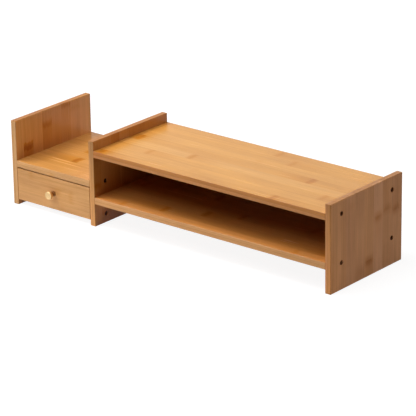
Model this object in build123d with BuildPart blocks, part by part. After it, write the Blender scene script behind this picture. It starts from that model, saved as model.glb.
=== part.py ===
"""Bamboo desk riser: a long monitor shelf with an open bay, and a lower drawer bay at its left end.

X runs along the riser, Y from the front to the back and Z up. The origin is the bottom centre of
the whole box, with the drawer closed and its knob included. Three uprights carry four boards that
are butted between them, held by wood screws and located by dowels. Thin back panels sit in grooves.
The drawer is a dowelled box that runs on the floor board of its bay.
"""

import os

from build123d import *

# Sizes of the carcass, in millimetres
main_bay_width = 480.0
main_bay_height = 70.0
drawer_bay_width = 165.0
carcass_depth = 190.0
upright_height = 150.0
upright_thickness = 11.0
board_thickness = 12.0
shelf_clearance = 40.0  # desk to the underside of the lower shelf
drawer_top_height = 80.0  # desk to the upper face of the board over the drawer
bay_floor_clearance = 10.0  # desk to the underside of the floor board of the drawer bay
edge_radius = 1.0  # eased edges of the uprights and boards

# Back panels and their grooves
back_panel_thickness = 5.0
back_panel_setback = 8.0  # from the rear edges of the boards to the panel
groove_depth = 4.0
groove_clearance = 0.1  # between a panel and its groove, on each face and at the end

# Wood screws through the uprights
screw_inset = 28.0  # from the front and rear edges to the screws
screw_length = 35.0
screw_radius = 2.0  # over the thread
screw_core_radius = 1.35
screw_shank_length = 12.0  # plain shank, head included
screw_pitch = 1.8
screw_tip_length = 3.0
screw_head_radius = 3.8
screw_head_land = 0.5
screw_recess = 1.2  # from the face of the upright down to the head
screw_seat_clearance = 0.2  # round the head, in its counterbore
shank_clearance = 0.25  # round the shank, in the upright

# Small wood screws at the rear corners of the drawer
small_screw_length = 20.0
small_screw_radius = 1.5
small_screw_core_radius = 1.0
small_screw_shank_length = 8.0
small_screw_pitch = 1.35
small_screw_tip_length = 2.2
small_screw_head_radius = 2.8
small_screw_head_land = 0.3
small_screw_recess = 0.3

# Fits that every screw and dowel shares
thread_clearance = 0.05  # round a thread, and under a countersunk head
blind_clearance = 0.5  # beyond the end of a dowel or a screw
cross_width = 0.9  # cross recess in the screw heads
cross_span = 4.2  # from arm end to arm end
cross_depth = 1.6
small_cross_width = 0.7
small_cross_span = 3.0
small_cross_depth = 1.1

# Dowels between the boards and the uprights
dowel_radius = 3.0
dowel_length = 24.0
dowel_in_upright = 7.5
dowel_spacing = 56.0  # between the two dowels at each board end
dowel_clearance = 0.05
dowel_chamfer = 0.8
dowel_flutes = 10
flute_radius = 0.4

# Drawer
drawer_side_gap = 0.4  # between the drawer front and the uprights
drawer_top_gap = 1.4  # between the drawer front and the board over it
drawer_run_gap = 0.3  # between the drawer and the floor board that it runs on
drawer_rear_gap = 1.2  # between the closed drawer and the back panel
drawer_front_thickness = 12.0
drawer_wall_thickness = 8.0
drawer_wall_height = 40.0
drawer_wall_inset = 0.4  # the walls stand in from the ends of the front
drawer_bottom_thickness = 3.0
drawer_bottom_lift = 5.0  # from the lower edge of the walls to the bottom
drawer_groove_depth = 4.0
drawer_edge_radius = 0.7
corner_fastener_heights = (14.0, 31.0)  # above the lower edge of the walls
small_dowel_radius = 2.0
small_dowel_length = 19.0
small_dowel_in_front = 7.5
small_dowel_chamfer = 0.5

# Knob and its machine screw
knob_head_radius = 7.0
knob_head_thickness = 5.0
knob_head_edge_radius = 1.0
knob_dish_depth = 0.5  # hollow of the outer face
knob_dish_radius = 5.6
knob_neck_radius = 3.2
knob_neck_length = 7.5
knob_foot_radius = 4.8
knob_foot_thickness = 1.5
knob_screw_radius = 2.0
knob_screw_length = 19.0  # under the head
knob_screw_head_radius = 3.9
knob_screw_head_height = 2.6
knob_screw_edge_radius = 1.0

# Places along X
overall_length = main_bay_width + drawer_bay_width + 3 * upright_thickness
left_x = -overall_length / 2
drawer_bay_x = left_x + upright_thickness
divider_x = drawer_bay_x + drawer_bay_width
main_bay_x = divider_x + upright_thickness
right_x = main_bay_x + main_bay_width

# Places along Y
knob_reach = knob_foot_thickness + knob_neck_length + knob_head_thickness
front_y = knob_reach / 2 - carcass_depth / 2
back_y = front_y + carcass_depth
mid_y = (front_y + back_y) / 2
panel_y = back_y - back_panel_setback - back_panel_thickness / 2
screw_places = (front_y + screw_inset, back_y - screw_inset)
dowel_places = (mid_y - dowel_spacing / 2, mid_y + dowel_spacing / 2)

# Places along Z
shelf_z = shelf_clearance + board_thickness / 2
main_top_z = shelf_clearance + board_thickness + main_bay_height + board_thickness / 2
drawer_top_z = drawer_top_height - board_thickness / 2
bay_floor_z = bay_floor_clearance + board_thickness / 2

# Places of the drawer
front_width = drawer_bay_width - 2 * drawer_side_gap
front_bottom_z = bay_floor_clearance
front_height = drawer_top_z - board_thickness / 2 - drawer_top_gap - front_bottom_z
drawer_x = drawer_bay_x + drawer_bay_width / 2
box_width = front_width - 2 * drawer_wall_inset
wall_front_y = front_y + drawer_front_thickness
wall_back_y = panel_y - back_panel_thickness / 2 - drawer_rear_gap
wall_length = wall_back_y - wall_front_y
wall_bottom_z = bay_floor_z + board_thickness / 2 + drawer_run_gap
left_wall_x = drawer_x - box_width / 2 + drawer_wall_thickness / 2
right_wall_x = drawer_x + box_width / 2 - drawer_wall_thickness / 2
bottom_z = wall_bottom_z + drawer_bottom_lift + drawer_bottom_thickness / 2
corner_levels = [wall_bottom_z + height for height in corner_fastener_heights]
knob_z = front_bottom_z + front_height / 2

# Lengths that follow from the fasteners
pilot_depth = screw_recess + screw_length - upright_thickness + blind_clearance
small_pilot_depth = small_screw_recess + small_screw_length - drawer_wall_thickness + blind_clearance
dowel_in_board = dowel_length - dowel_in_upright
small_dowel_in_wall = small_dowel_length - small_dowel_in_front


def cut_groove(length, width, height, centre):
    """A straight groove or slot out of the open part."""
    with Locations(centre):
        Box(length, width, height, mode=Mode.SUBTRACT)


def drill(places, radius, depth):
    """Blind holes into the open part, each down the Z direction of its plane."""
    with Locations(*places):
        Hole(radius=radius, depth=depth)


def side_planes(x, outward, y_places, levels):
    """Planes on a face at x that looks along X, one for each place and level."""
    return [Plane(origin=(x, y, z), z_dir=(outward, 0, 0)) for z in levels for y in y_places]


def drill_screw_seats(x, outward, y_places, levels, recess, land, head_radius, shank_radius, depth):
    """Counterbored and countersunk screw holes, from the face at x through the open part."""
    bore_depth = recess + land
    with Locations(*side_planes(x, outward, y_places, levels)):
        CounterBoreHole(
            radius=shank_radius,
            counter_bore_radius=head_radius + screw_seat_clearance,
            counter_bore_depth=bore_depth,
            depth=depth,
        )
    with Locations(*side_planes(x - outward * bore_depth, outward, y_places, levels)):
        CounterSinkHole(
            radius=shank_radius,
            counter_sink_radius=head_radius + thread_clearance,
            depth=depth - bore_depth,
            counter_sink_angle=90,
        )


def drill_upright_seats(x, outward, levels):
    """The seats of the carcass screws in an upright, from its face at x."""
    drill_screw_seats(
        x,
        outward,
        screw_places,
        levels,
        screw_recess,
        screw_head_land,
        screw_head_radius,
        screw_radius + shank_clearance,
        upright_thickness,
    )


def drill_upright_dowels(x, outward, levels):
    """Blind dowel holes in the face of an upright that a board meets."""
    depth = dowel_in_upright + blind_clearance
    drill(side_planes(x, outward, dowel_places, levels), dowel_radius + dowel_clearance, depth)


def cut_upright_groove(x, inward, bottom, top):
    """The groove for a back panel in the face of an upright at x, between two board faces."""
    cut_groove(
        groove_depth,
        back_panel_thickness + 2 * groove_clearance,
        top - bottom + 2 * groove_depth,
        (x + inward * groove_depth / 2, panel_y, (bottom + top) / 2),
    )


def upright_blank(x):
    """The plain board of an upright that starts at x, with every edge eased."""
    with BuildPart() as blank:
        with BuildSketch(Plane.YZ.offset(x)):
            with Locations((mid_y, upright_height / 2)):
                Rectangle(carcass_depth, upright_height)
        extrude(amount=upright_thickness)
        fillet(blank.edges(), radius=edge_radius)
    return blank.part


def cross_board(label, x, width, z, groove_side, y_start=front_y):
    """A board between two uprights, with screw and dowel holes in its ends and a panel groove.

    groove_side is 1 for a groove in the upper face and -1 for one in the lower face.
    """
    with BuildPart() as board:
        with BuildSketch(Plane.YZ.offset(x)):
            with Locations(((y_start + back_y) / 2, z)):
                RectangleRounded(back_y - y_start, board_thickness, edge_radius)
        extrude(amount=width)
        for end_x, outward in ((x, -1), (x + width, 1)):
            drill(
                side_planes(end_x, outward, screw_places, [z]),
                screw_radius + thread_clearance,
                pilot_depth,
            )
            drill(
                side_planes(end_x, outward, dowel_places, [z]),
                dowel_radius + dowel_clearance,
                dowel_in_board + blind_clearance,
            )
        cut_groove(
            width,
            back_panel_thickness + 2 * groove_clearance,
            groove_depth,
            (x + width / 2, panel_y, z + groove_side * (board_thickness - groove_depth) / 2),
        )
    board.part.label = label
    return board


def back_panel(label, x, width, bottom, top):
    """A thin panel that fills the back of a bay and reaches into the grooves all round."""
    tongue = groove_depth - groove_clearance
    with BuildPart() as panel:
        with Locations((x + width / 2, panel_y, (bottom + top) / 2)):
            Box(width + 2 * tongue, back_panel_thickness, top - bottom + 2 * tongue)
    panel.part.label = label
    return panel


def wood_screw(length, radius, core, shank, pitch, tip, head_radius, land, cross):
    """A countersunk wood screw that points down, with the top of its head at the origin."""
    turns = int((length - shank - tip) / pitch)
    outline = [
        (0, 0),
        (head_radius, 0),
        (head_radius, -land),
        (radius, -land - head_radius + radius),
        (radius, -shank),
    ]
    for turn in range(turns):
        crest = -shank - (turn + 1) * pitch
        outline.append((core, crest + 0.65 * pitch))
        outline.append((core, crest + 0.35 * pitch))
        outline.append((radius, crest))
    outline.append((core, -length + tip))
    outline.append((0, -length))
    width, span, depth = cross
    with BuildPart() as screw:
        with BuildSketch(Plane.XZ):
            with BuildLine():
                Polyline(*outline, close=True)
            make_face()
        revolve(axis=Axis.Z)
        with BuildSketch():
            Rectangle(span, width)
            Rectangle(width, span)
        extrude(amount=-depth, mode=Mode.SUBTRACT)
    return screw.part


def dowel(radius, length, bevel, flutes):
    """A dowel along Z from the origin, with bevelled ends and fine flutes down its side."""
    with BuildPart() as pin:
        with BuildSketch():
            Circle(radius)
            if flutes:
                with PolarLocations(radius, flutes):
                    Circle(flute_radius, mode=Mode.SUBTRACT)
        extrude(amount=length)
        with BuildSketch(Plane.XZ):
            with BuildLine():
                Polyline(
                    (0, 0),
                    (radius - bevel, 0),
                    (radius, bevel),
                    (radius, length - bevel),
                    (radius - bevel, length),
                    (0, length),
                    close=True,
                )
            make_face()
        revolve(axis=Axis.Z, mode=Mode.INTERSECT)
    return pin.part


def placed(label, piece, places):
    """Copies of one fastener, each at its own plane."""
    with BuildPart() as group:
        with Locations(*places):
            add(piece)
    group.part.label = label
    return group


# Uprights

with BuildPart() as left_side_panel:
    add(upright_blank(left_x))
    drill_upright_seats(left_x, -1, (drawer_top_z, bay_floor_z))
    drill_upright_dowels(drawer_bay_x, 1, (drawer_top_z, bay_floor_z))
    cut_upright_groove(
        drawer_bay_x,
        -1,
        bay_floor_z + board_thickness / 2,
        drawer_top_z - board_thickness / 2,
    )
left_side_panel.part.label = "left_side_panel"

with BuildPart() as divider_panel:
    add(upright_blank(divider_x))
    drill_upright_seats(divider_x, -1, (main_top_z, shelf_z))
    drill_upright_seats(main_bay_x, 1, (drawer_top_z, bay_floor_z))
    drill_upright_dowels(divider_x, -1, (drawer_top_z, bay_floor_z))
    drill_upright_dowels(main_bay_x, 1, (main_top_z, shelf_z))
    cut_upright_groove(
        divider_x,
        1,
        bay_floor_z + board_thickness / 2,
        drawer_top_z - board_thickness / 2,
    )
    cut_upright_groove(
        main_bay_x,
        -1,
        shelf_z + board_thickness / 2,
        main_top_z - board_thickness / 2,
    )
divider_panel.part.label = "divider_panel"

with BuildPart() as right_side_panel:
    add(upright_blank(right_x))
    drill_upright_seats(right_x + upright_thickness, 1, (main_top_z, shelf_z))
    drill_upright_dowels(right_x, -1, (main_top_z, shelf_z))
    cut_upright_groove(
        right_x,
        1,
        shelf_z + board_thickness / 2,
        main_top_z - board_thickness / 2,
    )
right_side_panel.part.label = "right_side_panel"

# Boards between the uprights

main_top_board = cross_board("main_top_board", main_bay_x, main_bay_width, main_top_z, -1)
lower_shelf = cross_board("lower_shelf", main_bay_x, main_bay_width, shelf_z, 1)
drawer_bay_top = cross_board("drawer_bay_top", drawer_bay_x, drawer_bay_width, drawer_top_z, -1)
drawer_bay_floor = cross_board(
    "drawer_bay_floor",
    drawer_bay_x,
    drawer_bay_width,
    bay_floor_z,
    1,
    y_start=wall_front_y + drawer_run_gap,
)

# Back panels

main_back_panel = back_panel(
    "main_back_panel",
    main_bay_x,
    main_bay_width,
    shelf_z + board_thickness / 2,
    main_top_z - board_thickness / 2,
)
drawer_bay_back_panel = back_panel(
    "drawer_bay_back_panel",
    drawer_bay_x,
    drawer_bay_width,
    bay_floor_z + board_thickness / 2,
    drawer_top_z - board_thickness / 2,
)

# Carcass screws and dowels

carcass_screw = wood_screw(
    screw_length,
    screw_radius,
    screw_core_radius,
    screw_shank_length,
    screw_pitch,
    screw_tip_length,
    screw_head_radius,
    screw_head_land,
    (cross_width, cross_span, cross_depth),
)
left_side_screws = placed(
    "left_side_screws",
    carcass_screw,
    side_planes(left_x + screw_recess, -1, screw_places, (drawer_top_z, bay_floor_z)),
)
divider_screws_to_main_boards = placed(
    "divider_screws_to_main_boards",
    carcass_screw,
    side_planes(divider_x + screw_recess, -1, screw_places, (main_top_z, shelf_z)),
)
divider_screws_to_drawer_bay = placed(
    "divider_screws_to_drawer_bay",
    carcass_screw,
    side_planes(main_bay_x - screw_recess, 1, screw_places, (drawer_top_z, bay_floor_z)),
)
right_side_screws = placed(
    "right_side_screws",
    carcass_screw,
    side_planes(
        right_x + upright_thickness - screw_recess,
        1,
        screw_places,
        (main_top_z, shelf_z),
    ),
)

carcass_dowel = dowel(dowel_radius, dowel_length, dowel_chamfer, dowel_flutes)
left_side_dowels = placed(
    "left_side_dowels",
    carcass_dowel,
    side_planes(drawer_bay_x - dowel_in_upright, 1, dowel_places, (drawer_top_z, bay_floor_z)),
)
divider_dowels_to_drawer_bay = placed(
    "divider_dowels_to_drawer_bay",
    carcass_dowel,
    side_planes(divider_x + dowel_in_upright, -1, dowel_places, (drawer_top_z, bay_floor_z)),
)
divider_dowels_to_main_boards = placed(
    "divider_dowels_to_main_boards",
    carcass_dowel,
    side_planes(main_bay_x - dowel_in_upright, 1, dowel_places, (main_top_z, shelf_z)),
)
right_side_dowels = placed(
    "right_side_dowels",
    carcass_dowel,
    side_planes(right_x + dowel_in_upright, -1, dowel_places, (main_top_z, shelf_z)),
)

# Drawer front

knob_screw_hole = Plane(origin=(drawer_x, wall_front_y, knob_z), z_dir=(0, 1, 0))
front_dowel_seats = [
    Plane(origin=(x, wall_front_y, z), z_dir=(0, 1, 0))
    for x in (left_wall_x, right_wall_x)
    for z in corner_levels
]
bottom_tongue = drawer_groove_depth - groove_clearance
bottom_slot = drawer_bottom_thickness + 2 * groove_clearance
inner_width = box_width - 2 * drawer_wall_thickness

with BuildPart() as drawer_front:
    with BuildSketch(Plane.XY.offset(front_bottom_z)):
        with Locations((drawer_x, front_y + drawer_front_thickness / 2)):
            Rectangle(front_width, drawer_front_thickness)
    extrude(amount=front_height)
    fillet(drawer_front.edges(), radius=drawer_edge_radius)
    drill([knob_screw_hole], knob_screw_radius + shank_clearance, drawer_front_thickness)
    drill(
        front_dowel_seats,
        small_dowel_radius + dowel_clearance,
        small_dowel_in_front + blind_clearance,
    )
    cut_groove(
        inner_width + 2 * drawer_groove_depth,
        drawer_groove_depth,
        bottom_slot,
        (drawer_x, wall_front_y - drawer_groove_depth / 2, bottom_z),
    )
drawer_front.part.label = "drawer_front"

# Drawer walls


def drawer_wall(label, wall_x, outward):
    """A side of the drawer, grooved for the bottom, with its outer face looking along outward."""
    mid_wall_y = (wall_front_y + wall_back_y) / 2
    outer_x = wall_x + outward * drawer_wall_thickness / 2
    with BuildPart() as wall:
        with BuildSketch(Plane.XZ.offset(-wall_front_y)):
            with Locations((wall_x, wall_bottom_z + drawer_wall_height / 2)):
                RectangleRounded(drawer_wall_thickness, drawer_wall_height, drawer_edge_radius)
        extrude(amount=-wall_length)
        drill(
            [Plane(origin=(wall_x, wall_front_y, z), z_dir=(0, -1, 0)) for z in corner_levels],
            small_dowel_radius + dowel_clearance,
            small_dowel_in_wall + blind_clearance,
        )
        drill_screw_seats(
            outer_x,
            outward,
            [wall_back_y - drawer_wall_thickness / 2],
            corner_levels,
            small_screw_recess,
            small_screw_head_land,
            small_screw_head_radius,
            small_screw_radius + thread_clearance,
            drawer_wall_thickness,
        )
        cut_groove(
            drawer_groove_depth,
            wall_length,
            bottom_slot,
            (
                wall_x - outward * (drawer_wall_thickness - drawer_groove_depth) / 2,
                mid_wall_y,
                bottom_z,
            ),
        )
    wall.part.label = label
    return wall


drawer_left_side = drawer_wall("drawer_left_side", left_wall_x, -1)
drawer_right_side = drawer_wall("drawer_right_side", right_wall_x, 1)

with BuildPart() as drawer_back:
    with BuildSketch(Plane.YZ.offset(drawer_x - inner_width / 2)):
        with Locations(
            (
                wall_back_y - drawer_wall_thickness / 2,
                wall_bottom_z + drawer_wall_height / 2,
            )
        ):
            RectangleRounded(drawer_wall_thickness, drawer_wall_height, drawer_edge_radius)
    extrude(amount=inner_width)
    for end_side in (-1, 1):
        drill(
            side_planes(
                drawer_x + end_side * inner_width / 2,
                end_side,
                [wall_back_y - drawer_wall_thickness / 2],
                corner_levels,
            ),
            small_screw_radius + thread_clearance,
            small_pilot_depth,
        )
    cut_groove(
        inner_width,
        drawer_groove_depth,
        bottom_slot,
        (drawer_x, wall_back_y - drawer_wall_thickness + drawer_groove_depth / 2, bottom_z),
    )
drawer_back.part.label = "drawer_back"

# Drawer bottom

bottom_front_y = wall_front_y - bottom_tongue
bottom_back_y = wall_back_y - drawer_wall_thickness + bottom_tongue

with BuildPart() as drawer_bottom:
    with Locations((drawer_x, (bottom_front_y + bottom_back_y) / 2, bottom_z)):
        Box(
            inner_width + 2 * bottom_tongue,
            bottom_back_y - bottom_front_y,
            drawer_bottom_thickness,
        )
drawer_bottom.part.label = "drawer_bottom"

# Drawer fasteners

drawer_front_dowels = placed(
    "drawer_front_dowels",
    dowel(small_dowel_radius, small_dowel_length, small_dowel_chamfer, 0),
    [seat.offset(-small_dowel_in_front) for seat in front_dowel_seats],
)

small_screw = wood_screw(
    small_screw_length,
    small_screw_radius,
    small_screw_core_radius,
    small_screw_shank_length,
    small_screw_pitch,
    small_screw_tip_length,
    small_screw_head_radius,
    small_screw_head_land,
    (small_cross_width, small_cross_span, small_cross_depth),
)
drawer_back_screws = placed(
    "drawer_back_screws",
    small_screw,
    [
        plane
        for wall_x, outward in ((left_wall_x, -1), (right_wall_x, 1))
        for plane in side_planes(
            wall_x + outward * (drawer_wall_thickness / 2 - small_screw_recess),
            outward,
            [wall_back_y - drawer_wall_thickness / 2],
            corner_levels,
        )
    ],
)

# Knob, turned about a line that runs out of the drawer front

knob_axis = Axis((drawer_x, front_y, knob_z), (0, -1, 0))
knob_plane = Plane(origin=(drawer_x, front_y, knob_z), x_dir=(1, 0, 0), z_dir=(0, 0, -1))
head_back = knob_foot_thickness + knob_neck_length
neck_middle = knob_foot_thickness + knob_neck_length / 2
neck_flare_radius = (knob_foot_radius + knob_neck_radius) / 2

with BuildPart() as drawer_knob:
    with BuildSketch(knob_plane):
        with BuildLine():
            Polyline(
                (neck_flare_radius, knob_foot_thickness),
                (knob_foot_radius, knob_foot_thickness),
                (knob_foot_radius, 0),
                (0, 0),
                (0, knob_reach - knob_dish_depth),
            )
            ThreePointArc(
                (0, knob_reach - knob_dish_depth),
                (knob_dish_radius / 2, knob_reach - 0.75 * knob_dish_depth),
                (knob_dish_radius, knob_reach),
            )
            FilletPolyline(
                (knob_dish_radius, knob_reach),
                (knob_head_radius, knob_reach),
                (knob_head_radius, head_back),
                (neck_flare_radius, head_back),
                radius=knob_head_edge_radius,
            )
            ThreePointArc(
                (neck_flare_radius, head_back),
                (knob_neck_radius, neck_middle),
                (neck_flare_radius, knob_foot_thickness),
            )
        make_face()
    revolve(axis=knob_axis)
    drill(
        [Plane(origin=(drawer_x, front_y, knob_z), z_dir=(0, 1, 0))],
        knob_screw_radius + thread_clearance,
        knob_screw_length - drawer_front_thickness + blind_clearance,
    )
drawer_knob.part.label = "drawer_knob"

# Machine screw that holds the knob, from inside the drawer

knob_screw_plane = Plane(origin=(drawer_x, wall_front_y, knob_z), z_dir=(0, 1, 0))

with BuildPart(knob_screw_plane) as knob_screw:
    Cylinder(
        knob_screw_head_radius,
        knob_screw_head_height,
        align=(Align.CENTER, Align.CENTER, Align.MIN),
    )
    head_rim = knob_screw.edges().filter_by(GeomType.CIRCLE).sort_by(Axis.Y)[-1]
    fillet(head_rim, radius=knob_screw_edge_radius)
    with BuildSketch(knob_screw_plane.offset(knob_screw_head_height)):
        Rectangle(cross_span, cross_width)
        Rectangle(cross_width, cross_span)
    extrude(amount=-cross_depth, mode=Mode.SUBTRACT)
    with BuildSketch(knob_screw_plane):
        Circle(knob_screw_radius)
    extrude(amount=-knob_screw_length)
knob_screw.part.label = "knob_screw"

# One file for each piece

os.makedirs("parts", exist_ok=True)
for piece in (
    left_side_panel,
    divider_panel,
    right_side_panel,
    main_top_board,
    lower_shelf,
    drawer_bay_top,
    drawer_bay_floor,
    main_back_panel,
    drawer_bay_back_panel,
    left_side_screws,
    divider_screws_to_main_boards,
    divider_screws_to_drawer_bay,
    right_side_screws,
    left_side_dowels,
    divider_dowels_to_drawer_bay,
    divider_dowels_to_main_boards,
    right_side_dowels,
    drawer_front,
    drawer_left_side,
    drawer_right_side,
    drawer_back,
    drawer_bottom,
    drawer_front_dowels,
    drawer_back_screws,
    drawer_knob,
    knob_screw,
):
    export_step(piece.part, f"parts/{piece.part.label}.step")
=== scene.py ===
"""Desk riser in lacquered laminated bamboo: finishes for every piece, studio light and camera.

Sizes are in metres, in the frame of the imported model: X along the riser, Y to the back, Z up.
"""

import math

import bmesh
import bpy
from bpy.props import FloatProperty, FloatVectorProperty, PointerProperty
from bpy.types import Operator, Panel, PropertyGroup
from mathutils import Matrix, Vector


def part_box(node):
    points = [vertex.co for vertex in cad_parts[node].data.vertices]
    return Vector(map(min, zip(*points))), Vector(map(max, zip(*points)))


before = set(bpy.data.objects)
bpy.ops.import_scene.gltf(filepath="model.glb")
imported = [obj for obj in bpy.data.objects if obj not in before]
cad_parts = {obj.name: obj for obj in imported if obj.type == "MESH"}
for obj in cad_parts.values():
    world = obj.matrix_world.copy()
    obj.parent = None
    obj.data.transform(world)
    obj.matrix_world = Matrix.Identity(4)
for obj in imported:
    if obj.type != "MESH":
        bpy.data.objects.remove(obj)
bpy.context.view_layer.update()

bl_info = {
    "name": "Bamboo desk riser",
    "version": (1, 0, 0),
    "blender": (4, 5, 0),
    "location": "3D View > Sidebar > Riser",
    "description": "Finishes a bamboo desk riser and sets up its studio picture",
    "category": "Object",
}

# Axes of a board: along the grain, across the strips, and into the board from its show face
LYING = ("X", "Y", "-Z")
STANDING = ("Z", "Y", "-X")
FACING_FRONT = ("X", "Z", "Y")
FACING_BACK = ("X", "Z", "-Y")
FACING_SIDE = ("Y", "Z", "X")

# How each board differs from the rest. The docstring of bamboo says what each setting does.
# Each slope is painted light and shade: the board gets brighter towards its low end, which for an
# upright is the floor, and edge_slope makes its edges more so
UPRIGHT_LOOKS = {
    "left_side_panel": {
        "tint": (1.07, 1.04, 1.22),
        "edge": (0.93, 1.04, 1.34),
        "end": (0.55, 0.42, 0.20),
        "hidden": (0.94, 0.91, 0.80),
        "figure": 1.2,
        "slope": -0.5,
    },
    "divider_panel": {
        "tint": (0.92, 0.80, 0.74),
        "edge": (1.19, 1.30, 1.72),
        "end": (0.75, 0.65, 0.45),
        "hidden": (1.06, 1.18, 1.30),
        "slope": -1.0,
        "edge_slope": -1.8,
    },
    "right_side_panel": {
        "tint": (1.27, 1.23, 2.15),
        "edge": (0.90, 0.83, 0.68),
        "end": (0.53, 0.51, 0.43),
        "hidden": (0.79, 0.77, 0.50),
        "figure": 1.8,
        "slope": -0.6,
        "edge_slope": -2.2,
        "softness": 1.0,
        "ior": 1.16,
        "first_strip": 0.007,
    },
}
# Painted shade: the undersides of the top boards, the ceilings of the bays, are darkened to stand
# in for the shade inside the bays
UNDERSIDE_PAINTED_SHADE = (0.46, 0.42, 0.38)
BOARD_LOOKS = {
    "main_top_board": {
        "tint": (1.05, 1.05, 0.90),
        "edge": (0.735, 0.60, 0.68),
        "hidden": UNDERSIDE_PAINTED_SHADE,
        "figure": 1.25,
        # Painted shade in the corner by the divider
        "corner": 1.0,
    },
    "lower_shelf": {"tint": (1.05, 0.89, 0.88), "edge": (0.92, 1.08, 1.50)},
    "drawer_bay_top": {
        "tint": (1.03, 1.01, 1.05),
        "edge": (0.95, 1.02, 1.40),
        "hidden": UNDERSIDE_PAINTED_SHADE,
        "figure": 1.8,
        # Painted light and shade: brighter towards the board's low end
        "slope": -0.5,
        "first_strip": 0.021,
    },
    "drawer_bay_floor": {},
}
BACK_PANELS = ("main_back_panel", "drawer_bay_back_panel")
# Painted shade: the back panels are darker than the other boards, and their inner faces, which
# close the bays, far darker still
BACK_PANEL_LOOK = {"tint": (0.80, 0.77, 0.74), "hidden": (0.24, 0.21, 0.20)}
DRAWER_FRONT_LOOK = {
    "tint": (1.13, 1.22, 1.80),
    "edge": (0.84, 0.77, 0.66),
    "hidden": (0.90, 0.82, 0.60),
    "figure": 1.6,
}
DRAWER_WALLS = ("drawer_left_side", "drawer_right_side", "drawer_back")
DOWELS = {
    "left_side_dowels": "X",
    "divider_dowels_to_drawer_bay": "X",
    "divider_dowels_to_main_boards": "X",
    "right_side_dowels": "X",
    "drawer_front_dowels": "Y",
}
WOOD_SCREWS = (
    "left_side_screws",
    "divider_screws_to_main_boards",
    "divider_screws_to_drawer_bay",
    "right_side_screws",
    "drawer_back_screws",
)

# Strips of the boards from their low side, across the grain: tone from 0 to 1, distance of a
# knuckle from the board's low end, how dark the knuckle is, and warmth from 0 to 1. A knuckle with
# a minus fades towards the low end, any other towards the high end.
STRIPS = {
    "main_top_board": (
        (0.40, 0.372, 0.40, 0.66),
        (0.53, 0.190, 0.05, 0.48),
        (0.50, 0.436, 0.25, 0.48),
        (0.64, 0.147, 0.36, 0.16),
        (0.39, 0.377, -0.46, 0.54),
        (0.56, 0.250, 0.06, 0.42),
        (0.48, 0.300, 0.22, 0.55),
        (0.48, 0.256, 0.24, 0.51),
        (0.45, 0.120, 0.10, 0.50),
    ),
    "drawer_bay_top": (
        (0.50, 0.020, 0.10, 0.50),
        (0.54, 0.130, 0.08, 0.48),
        (0.44, 0.036, -0.10, 0.55),
        (0.52, 0.082, -0.70, 0.47),
        (0.38, 0.150, 0.12, 0.55),
        (0.54, 0.067, 0.34, 0.48),
        (0.47, 0.072, 0.30, 0.50),
        (0.52, 0.060, 0.10, 0.50),
        (0.48, 0.140, 0.20, 0.50),
    ),
    "left_side_panel": (
        (0.46, 0.030, 0.20, 0.48),
        (0.42, 0.097, -0.88, 0.52),
        (0.47, 0.040, 0.20, 0.50),
        (0.26, 0.1245, -0.40, 0.56),
        (0.47, 0.066, 0.30, 0.50),
        (0.48, 0.1475, -0.36, 0.42),
        (0.72, 0.135, 0.10, 0.35),
        (1.00, 0.052, -0.40, 0.30),
        (0.98, 0.090, 0.20, 0.31),
    ),
    "divider_panel": (
        (0.46, 0.070, 0.24, 0.50),
        (0.54, 0.020, -0.40, 0.47),
        (0.42, 0.112, 0.50, 0.55),
        (0.57, 0.056, -0.20, 0.45),
        (0.48, 0.090, 0.44, 0.50),
        (0.40, 0.030, -0.30, 0.55),
        (0.55, 0.108, 0.20, 0.47),
        (0.47, 0.075, -0.44, 0.50),
        (0.50, 0.010, 0.20, 0.50),
    ),
    "right_side_panel": (
        (0.43, 0.060, 0.05, 0.70),
        (0.50, 0.270, 0.10, 0.66),
        (0.52, 0.134, -0.14, 0.48),
        (0.52, 0.018, -0.18, 0.56),
        (0.52, 0.026, -0.80, 0.66),
        (0.76, 0.094, -0.56, 0.42),
        (0.36, 0.099, 0.42, 0.56),
        (0.48, 0.093, 0.56, 0.52),
        (0.53, 0.093, 0.28, 0.52),
    ),
    "drawer_front": (
        (0.61, 0.100, 0.06, 0.45),
        (0.54, 0.122, -0.10, 0.50),
        (0.46, 0.030, 0.08, 0.52),
        (0.47, 0.260, 0.08, 0.51),
    ),
}
OTHER_STRIPS = (
    (0.50, 0.027, -0.20, 0.50),
    (0.44, 0.167, 0.44, 0.55),
    (0.55, 0.089, -0.26, 0.46),
    (0.47, 0.229, 0.50, 0.50),
    (0.57, 0.057, -0.20, 0.47),
    (0.41, 0.130, -0.36, 0.56),
    (0.53, 0.197, 0.46, 0.46),
    (0.46, 0.256, -0.30, 0.50),
)

# Grain of the bamboo: length and width of one mark, and the detail of its noise
FIBRES = (0.016, 0.0005, 1.0)
LINES = (0.090, 0.0011, 1.0)
STREAKS = (0.160, 0.0042, 2.0)
CLOUDS = (0.110, 0.0300, 1.0)
# The fibres from which and up to which a bundle of dark fibre ends shows
BUNDLES = (0.06, 0.20)
# How far a board and a strip move the noise, so that no two of them look alike
BOARD_SEED = 3.71
STRIP_SEED = 0.737
LUCK_STEP = 5.7
LEAN_DRAW = 1.3
BOW_DRAW = 3.1

# Brightness of the bamboo: weight of the streaks and clouds against the lines, and how much that
# figure, the lean from one side of a strip to the other, the bundles and a glue line change it
BROAD_FIGURE = 1.5
FIGURE_TONE = 0.16
LEAN_TONE = 0.10
BUNDLE_TONE = -0.10
GLUE_TONE = 0.80

# From one ply to the next, how far the strips move on in their table, and how far in their seed
PLY_SHIFT = 3.0
PLY_SEED = 17.3
# Half width of the glue lines between strips and between plies: where it is full, where it ends
STRIP_GLUE = (0.0001, 0.0005)
PLY_GLUE = (0.0001, 0.0006)

# How far a knuckle wanders with the streaks and with the lines, and how far it bows
STREAK_WANDER = 0.009
LINE_WANDER = 0.003
KNUCKLE_BOW = 0.016
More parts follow.
